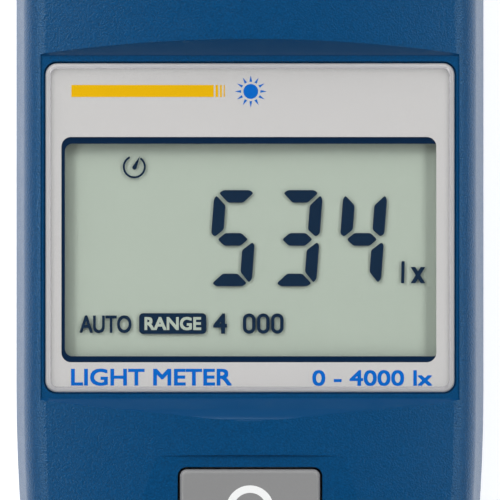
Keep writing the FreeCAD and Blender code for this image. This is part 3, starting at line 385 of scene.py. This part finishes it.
def give_materials():
    """Every CAD part gets its material from the slot that the record names for it."""
    by_slot = {
        "case_blue": case_plastic(),
        "clear_lens": clear_lens(),
        "silver_print": silver_print(),
        "key_grey": moulded("key_plastic", KEY_GREY, 0.42, 0.22 * MM, 0.010 * MM, 0.035),
        "silicone": moulded("silicone_rubber", srgb(146, 150, 152), 0.6),
        "carbon_rubber": moulded("carbon_rubber", srgb(30, 30, 32), 0.7),
        "board_green": circuit_board(),
        "cell_sleeve": cell_sleeve(),
        "spring_steel": metal("spring_steel", srgb(186, 190, 194), 0.28, (1, 6, 1)),
        "screw_steel": metal("screw_steel", srgb(176, 180, 184), 0.34, (8, 8, 1)),
        "bush_brass": metal("bush_brass", srgb(206, 164, 84), 0.3, (1, 1, 12)),
        "opal_white": opal(),
        "ring_black": moulded("ring_plastic", srgb(27, 29, 33), 0.4, 0.25 * MM, 0.012 * MM),
        "seal_rubber": moulded("seal_rubber", srgb(32, 33, 35), 0.75),
        "nylon_black": moulded("nylon", srgb(36, 38, 42), 0.5),
        "lcd_film": thin_clear("polariser_film", srgb(176, 188, 172), 0.005),
        "lcd_glass": thin_clear("lcd_glass", srgb(200, 212, 200), 0.004),
        "lcd_sage": lcd_ground(),
        "led_white": moulded("led_case", srgb(244, 243, 232), 0.3),
        "chip_black": moulded("chip_epoxy", srgb(30, 31, 34), 0.62, 0.15 * MM),
        "tinned": metal("tinned_copper", srgb(206, 208, 210), 0.25),
        "can_aluminium": metal("can_aluminium", srgb(202, 205, 208), 0.3, (1, 1, 8)),
        "trimmer_blue": moulded("trimmer_case", srgb(34, 90, 170), 0.32),
        "header_white": moulded("header_nylon", srgb(232, 228, 216), 0.5),
        "filter_green": thin_clear("filter_glass", srgb(120, 164, 116), 0.35),
        "cable_black": moulded("cable_sheath", srgb(26, 27, 29), 0.5),
    }
    for part in frame["record"]["subparts"]:
        coat(part["node"], by_slot[part["material_slot"]])
    # The rear glass is seen with its reflector bonded on, so it has the reflector's look.
    coat("lcd_rear_glass", by_slot["lcd_sage"])
    coat("light_guide", thin_clear("guide_acrylic", srgb(225, 230, 232), 0.1))


# --- Flat artwork -------------------------------------------------------------------------------

ART_THICK = 0.02 * MM


def polar(cx, cy, radius, degrees):
    turn = math.radians(degrees)
    return (cx + radius * math.cos(turn), cy + radius * math.sin(turn))


def arc_points(cx, cy, radius, start, end, count):
    """The points that part an arc into count steps, with its angles in degrees."""
    return [polar(cx, cy, radius, start + (end - start) * i / count) for i in range(count + 1)]


def rounded_box(left, right, low, high, radius):
    """A box's outline with round corners."""
    points = []
    for cx, cy, start in (
        (right - radius, high - radius, 0), (left + radius, high - radius, 90),
        (left + radius, low + radius, 180), (right - radius, low + radius, 270),
    ):
        points += arc_points(cx, cy, radius, start, start + 90, 8)
    return points


def soften(points, radius):
    """The same outline with its corners rounded off."""
    steps, smooth = 4, []
    for i, corner in enumerate(points):
        corner = Vector(corner)
        ends = []
        for other in (Vector(points[i - 1]), Vector(points[(i + 1) % len(points)])):
            reach = min(radius, (other - corner).length * 0.45)
            ends.append(corner + (other - corner).normalized() * reach)
        for step in range(steps + 1):
            k = step / steps
            smooth.append(ends[0] * (1 - k) ** 2 + corner * 2 * k * (1 - k) + ends[1] * k * k)
    return [tuple(p) for p in smooth]


def inside(spot, outline):
    """True if spot lies within the outline."""
    crossed = False
    for i, b in enumerate(outline):
        a = outline[i - 1]
        if (a[1] > spot.y) != (b[1] > spot.y):
            if spot.x < a[0] + (spot.y - a[1]) * (b[0] - a[0]) / (b[1] - a[1]):
                crossed = not crossed
    return crossed


class Artwork:
    """Flat shapes at one height, made into one thin piece. Shapes are drawn in millimetres."""

    def __init__(self, cx, cy):
        self.origin = Vector((cx, cy, 0))
        self.shapes = []

    def polygon(self, points):
        """A closed outline, turned anticlockwise, without repeated points."""
        points = [Vector(p) for i, p in enumerate(points) if math.dist(p, points[i - 1]) > 1e-6]
        turn = sum(points[i - 1].cross(p) for i, p in enumerate(points))
        self.shapes.append(points if turn > 0 else points[::-1])

    def band(self, outer, inner):
        """The strip between two lines of the same number of points."""
        for i in range(len(outer) - 1):
            self.polygon([outer[i], outer[i + 1], inner[i + 1], inner[i]])

    def ring(self, cx, cy, radius, stroke, start=0, end=360):
        steps = 48
        outer = arc_points(cx, cy, radius, start, end, steps)
        self.band(outer, arc_points(cx, cy, radius - stroke, start, end, steps))

    def bar(self, left, right, low, high):
        self.polygon([(left, low), (right, low), (right, high), (left, high)])

    def zero(self, left, right, low, high, stroke):
        """An upright oval figure, its ends all but round."""
        half, flat, s = (right - left) / 2, 0.02, stroke
        outer = rounded_box(left, right, low, high, half - flat)
        inner = rounded_box(left + s, right - s, low + s, high - s, half - s - flat / 2)
        self.band(outer + outer[:1], inner + inner[:1])

    def text(self, words, left, right, low, high, weight):
        """Plain lettering stretched to fill the box, its strokes thickened by weight all round."""
        curve = bpy.data.curves.new("words", "FONT")
        curve.body, curve.resolution_u = words, 4
        made = bpy.data.objects.new("words", curve)
        bpy.context.collection.objects.link(made)
        shape = bpy.data.meshes.new_from_object(made)
        bpy.data.objects.remove(made)
        xs, ys = [v.co.x for v in shape.vertices], [v.co.y for v in shape.vertices]
        kx = (right - left - 2 * weight) / (max(xs) - min(xs))
        ky = (high - low - 2 * weight) / (max(ys) - min(ys))
        spots = [
            (left + weight + (x - min(xs)) * kx, low + weight + (y - min(ys)) * ky)
            for x, y in zip(xs, ys)
        ]
        shifts = [(i * weight, j * weight) for i in (-1, 1) for j in (-1, 1)]
        for face in shape.polygons:
            for dx, dy in shifts:
                self.polygon([(spots[i][0] + dx, spots[i][1] + dy) for i in face.vertices])
        bpy.data.meshes.remove(shape)

    def make(self, name, z, material, body="case", below=False):
        """Joins the shapes where they overlap, scales them to metres and thickens them."""
        touching, level = 1e-4, 0.01  # points this close are one; faces this near level are joined
        spots, faces = [], []
        for points in self.shapes:
            faces.append(list(range(len(spots), len(spots) + len(points))))
            spots += points
        spots, _, faces, _, _, sources = delaunay_2d_cdt(spots, [], faces, 1, touching)
        kept = []
        for face, source in zip(faces, sources):
            middle = sum((spots[i] for i in face), Vector((0, 0))) / len(face)
            if any(inside(middle, self.shapes[i]) for i in source):
                kept.append(face)
        mesh = bmesh.new()
        verts = [mesh.verts.new(self.origin + Vector((p.x * MM, p.y * MM, z))) for p in spots]
        for face in kept:
            mesh.faces.new([verts[i] for i in (face[::-1] if below else face)])
        bmesh.ops.delete(mesh, geom=[v for v in mesh.verts if not v.link_faces], context="VERTS")
        bmesh.ops.dissolve_limit(mesh, angle_limit=level, verts=mesh.verts[:], edges=mesh.edges[:])
        grown = bmesh.ops.extrude_face_region(mesh, geom=list(mesh.faces))["geom"]
        lift = -ART_THICK if below else ART_THICK
        moved = [g for g in grown if isinstance(g, bmesh.types.BMVert)]
        bmesh.ops.translate(mesh, verts=moved, vec=(0, 0, lift))
        shape = bpy.data.meshes.new(name)
        mesh.to_mesh(shape)
        mesh.free()
        shape.materials.append(material)
        piece = bpy.data.objects.new(name, shape)
        bpy.context.collection.objects.link(piece)
        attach(piece, body)


# --- Display ------------------------------------------------------------------------------------

# Segments: top (T), middle (M) and bottom (X) bars, and the upper left (U), upper right (V) and
# lower right (W) uprights.
SEGMENTS = {"3": "TVMWX", "4": "UVMW", "5": "TUMWX"}
SLANT = 0.0755  # sideways per unit of height
SEGMENT_CORNER = 0.28
LCD_LIFT = 0.35 * MM  # of the marks above the rear glass

# Outlines in millimetres from a figure's centre: the right halves of two level bars, and the right
# uprights. The middle bar sits a little low, so the lower upright is the shorter one.
TOP_BAR = [(1.78, 6.5), (2.34, 6.1), (1.02, 4.8)]
MIDDLE_BAR = [(1.1, 0.69), (2.05, -0.17), (1.1, -1.03)]
UPRIGHT = [(2.98, 5.25), (2.68, 5.78), (1.33, 4.42), (1.33, 1.15), (2.46, 0.2), (2.98, 0.62)]
LOWER_UPRIGHT = [
    (3.0, -0.92), (2.68, -0.55), (1.36, -1.62), (1.36, -4.56), (2.62, -6.02), (3.0, -5.45)
]


def digit(art, figure, cx, cy):
    """A seven-segment figure with mitred segments, leaning to the right."""

    def both(half):
        return half + [(-x, y) for x, y in reversed(half)]

    shapes = {
        "T": both(TOP_BAR), "M": both(MIDDLE_BAR), "X": both([(x, -y) for x, y in TOP_BAR]),
        "V": UPRIGHT, "U": [(-x, y) for x, y in UPRIGHT], "W": LOWER_UPRIGHT,
    }
    for part in SEGMENTS[figure]:
        outline = [(cx + x + SLANT * y, cy + y) for x, y in shapes[part]]
        art.polygon(soften(outline, SEGMENT_CORNER))


def lcd_artwork(dark, pale):
    """What the display shows: the reading, its unit, a small dial, and the range line below.

    Places are in millimetres from the lens's centre, and so are the face sheet's.
    """
    centre = (LENS_CENTRE.x, LENS_CENTRE.y)
    z = LCD[1].z + LCD_LIFT
    art = Artwork(*centre)
    pitch, last, middle = 8.73, 15.15, -1.4
    for place, figure in enumerate("534"):
        digit(art, figure, last - pitch * (2 - place), middle)
    art.make("lcd_reading", z, dark)

    art = Artwork(*centre)
    foot, small_top, tall_top, corner = -7.5, -5.3, -4.5, 0.12
    stem = [(20.43, foot), (20.86, foot), (20.92, tall_top), (20.49, tall_top)]
    art.polygon(soften(stem, corner))
    for low, high in ((foot, small_top), (small_top, foot)):
        cross = [(21.72, low), (22.36, low), (23.72, high), (23.08, high)]
        art.polygon(soften(cross, 0.08))

    foot, top = -14.32, -11.58
    art.text("AUTO", -23.05, -16.03, -14.24, -11.83, 0.06)
    art.text("4", -4.97, -3.10, foot, top, 0.10)
    width, pitch, stroke = 1.7, 1.9, 0.46
    for place in range(3):
        left = -0.96 + pitch * place
        art.zero(left, left + width, foot, top, stroke)

    # A small dial whose ring is open at the top, with a pointer through the gap.
    art.ring(-15.65, 8.25, 1.56, 0.28, 115, 415)
    tail = arc_points(-15.62, 8.15, 0.30, 150, 330, 10)
    art.polygon(tail + [(-14.86, 9.75)])
    art.make("lcd_legends", z, dark)

    art = Artwork(*centre)
    art.polygon(rounded_box(-15.0, -5.9, -14.35, -11.55, 0.55))
    art.make("lcd_range_field", z, dark)
    art = Artwork(*centre)
    art.text("RANGE", -14.27, -6.60, -13.85, -12.05, 0.07)
    art.make("lcd_range_word", z + 1.5 * ART_THICK, pale)


def sheet_artwork():
    """Printing on the face sheet: title, range, a bar and a small sun."""
    centre = (LENS_CENTRE.x, LENS_CENTRE.y)
    z = SHEET[1].z
    blue, yellow = ink("blue_ink", PRINT_BLUE), ink("yellow_ink", PRINT_YELLOW)
    art = Artwork(*centre)
    art.text("LIGHT METER", -24.15, -2.45, -21.32, -19.0, 0.08)
    art.text("0 - 4000 lx", 8.4, 24.6, -21.35, -19.2, 0.07)
    art.make("print_words", z, blue)

    art = Artwork(*centre)
    low, high = 17.65, 19.27
    for left, right in ((-24.1, -4.9), (-4.65, -4.3), (-4.05, -3.8), (-3.55, -3.4)):
        art.bar(left, right, low, high)
    art.make("print_bar", z, yellow)

    art = Artwork(*centre)
    sun_x, sun_y, rays = 0.1, 18.4, 12
    disc, foot, tip, half_foot = 1.0, 1.32, 2.15, 8  # radii, and half a ray's foot in degrees
    art.polygon(arc_points(sun_x, sun_y, disc, 0, 360, 40)[:-1])
    for ray in range(rays):
        turn = 360 * ray / rays
        start, end = (polar(sun_x, sun_y, foot, turn + side) for side in (-half_foot, half_foot))
        art.polygon([start, polar(sun_x, sun_y, tip, turn), end])
    art.make("print_sun", z, blue)


# --- Keys and back ------------------------------------------------------------------------------


def key_artwork(white):
    """A white sign on each key."""

    def on(key):
        low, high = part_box(key)
        return Artwork((low.x + high.x) / 2, (low.y + high.y) / 2), high.z

    art, z = on("power_key")
    stroke = 1.0
    art.ring(0, 0, 3.23, stroke)
    art.bar(-stroke / 2, stroke / 2, -1.0, 1.0)
    art.make("legend_power", z, white, "power_key")

    art, z = on("hold_key")
    inner, outer, half_height = 0.5, 1.3, 1.5
    art.bar(-outer, -inner, -half_height, half_height)
    art.bar(inner, outer, -half_height, half_height)
    art.make("legend_hold", z, white, "hold_key")

    art, z = on("peak_key")
    half_width = 1.7
    art.polygon([(-half_width, -1.0), (half_width, -1.0), (0, 1.1)])
    art.bar(-half_width, half_width, 1.4, 1.9)
    art.make("legend_peak", z, white, "peak_key")

    art, z = on("unit_key")
    art.text("lx/fc", -3.4, 3.4, -1.3, 1.5, 0.05)
    art.make("legend_unit", z, white, "unit_key")

    art, z = on("backlight_key")
    art.ring(0, 0, 1.0, 0.35)
    rays, start, end, half_width = 8, 1.35, 2.0, 0.16
    bar = [(start, -half_width), (end, -half_width), (end, half_width), (start, half_width)]
    for ray in range(rays):
        turn = math.tau * ray / rays
        c, s = math.cos(turn), math.sin(turn)
        art.polygon([(x * c - y * s, x * s + y * c) for x, y in bar])
    art.make("legend_backlight", z, white, "backlight_key")


def back_artwork(pale):
    """An arrow printed on the battery door, below its grip lines, pointing the way it slides."""
    low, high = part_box("battery_door")
    drop, half_width = 26 * MM, 3.2  # drop is measured from the door's upper end
    art = Artwork((low.x + high.x) / 2, high.y - drop)
    art.polygon([(-half_width, 1.6), (half_width, 1.6), (0, -2.2)])
    art.make("door_arrow", low.z, pale, "battery_door", below=True)


# --- Studio -------------------------------------------------------------------------------------

AIM = Vector((0, 0, 0.02))  # what every lamp points at
LAMPS = [  # name, place, size, and power in watts
    ("key", (-0.50, 0.72, 0.70), (0.9, 0.9), 7.4),
    ("fill", (0.55, 0.60, 0.62), (0.40, 0.40), 2.0),
    ("left", (-0.66, 0.05, 0.74), (1.3, 0.26), 4.2),
    ("right", (0.66, 0.05, 0.74), (1.3, 0.26), 4.2),
    ("end", (0.0, -0.85, 0.65), (0.5, 0.4), 1.0),
]


def panel(name, place, size, power):
    """A soft square lamp aimed at the meter."""
    lamp = bpy.data.lights.new(name, "AREA")
    lamp.shape, lamp.size, lamp.size_y = "RECTANGLE", size[0], size[1]
    lamp.energy = power
    obj = bpy.data.objects.new(name, lamp)
    obj.location = place
    obj.rotation_euler = (AIM - Vector(place)).to_track_quat("-Z", "Y").to_euler()
    bpy.context.collection.objects.link(obj)


def studio():
    """A white floor, glowing a little so that it stays pale, under soft lamps."""
    floor_mesh = bpy.data.meshes.new("floor")
    reach, z = 1.6, -0.02 * MM
    corners = [(-reach, -reach, z), (reach, -reach, z), (reach, reach, z), (-reach, reach, z)]
    floor_mesh.from_pydata(corners, [], [(0, 1, 2, 3)])
    floor = bpy.data.objects.new("floor", floor_mesh)
    bpy.context.collection.objects.link(floor)
    s = Shader("floor_white")
    cloud = s.noise(0.25, 3.0)
    floor_mesh.materials.append(
        s.finish(
            s.principled(
                Base_Color=s.shade(srgb(246, 246, 246), s.scaled(cloud, 0.99, 1.01)), Roughness=0.8,
                Emission_Color=(1, 1, 1, 1), Emission_Strength=0.52,
            )
        )
    )
    sky()
    for lamp in LAMPS:
        panel(*lamp)


def sky():
    """Pale walls under a dark ceiling, so level surfaces keep their own colour."""
    walls, ceiling = (0.95, 0.96, 1, 1), (0.03, 0.035, 0.05, 1)
    world = bpy.data.worlds.new("studio")
    bpy.context.scene.world = world
    world.use_nodes = True
    links, nodes = world.node_tree.links, world.node_tree.nodes
    place, parts = nodes.new("ShaderNodeTexCoord"), nodes.new("ShaderNodeSeparateXYZ")
    fade, ramp = nodes.new("ShaderNodeMapRange"), nodes.new("ShaderNodeMix")
    fade.inputs["From Min"].default_value, fade.inputs["From Max"].default_value = 0.30, 0.75
    ramp.data_type = "RGBA"
    ramp.inputs[6].default_value, ramp.inputs[7].default_value = walls, ceiling
    links.new(place.outputs["Generated"], parts.inputs[0])
    links.new(parts.outputs["Z"], fade.inputs["Value"])
    links.new(fade.outputs[0], ramp.inputs["Factor"])
    links.new(ramp.outputs[2], nodes["Background"].inputs["Color"])
    nodes["Background"].inputs["Strength"].default_value = 0.28


def camera():
    """Straight above the lower half of the display, as the meter is pictured."""
    span, distance, drop = 67.3 * MM, 0.65, 3.0 * MM
    lens = bpy.data.cameras.new("camera")
    lens.sensor_width, lens.clip_end = 36.0, 20.0
    lens.lens = lens.sensor_width * distance / span
    obj = bpy.data.objects.new("camera", lens)
    obj.location = (LENS_CENTRE.x, LENS_CENTRE.y - drop, LENS[1].z + distance)
    bpy.context.collection.objects.link(obj)
    bpy.context.scene.camera = obj


camera()
studio()
give_materials()
lcd_artwork(ink("lcd_ink", LCD_INK, 0.6), ink("lcd_pale", LCD_SAGE, 0.6))
sheet_artwork()
key_artwork(ink("white_ink", WHITE_INK))
back_artwork(ink("arrow_ink", ARROW_BLUE))
bpy.context.scene.view_settings.view_transform = "Standard"
bpy.context.scene.cycles.transparent_max_bounces = 24  # lens, polariser and glass, there and back
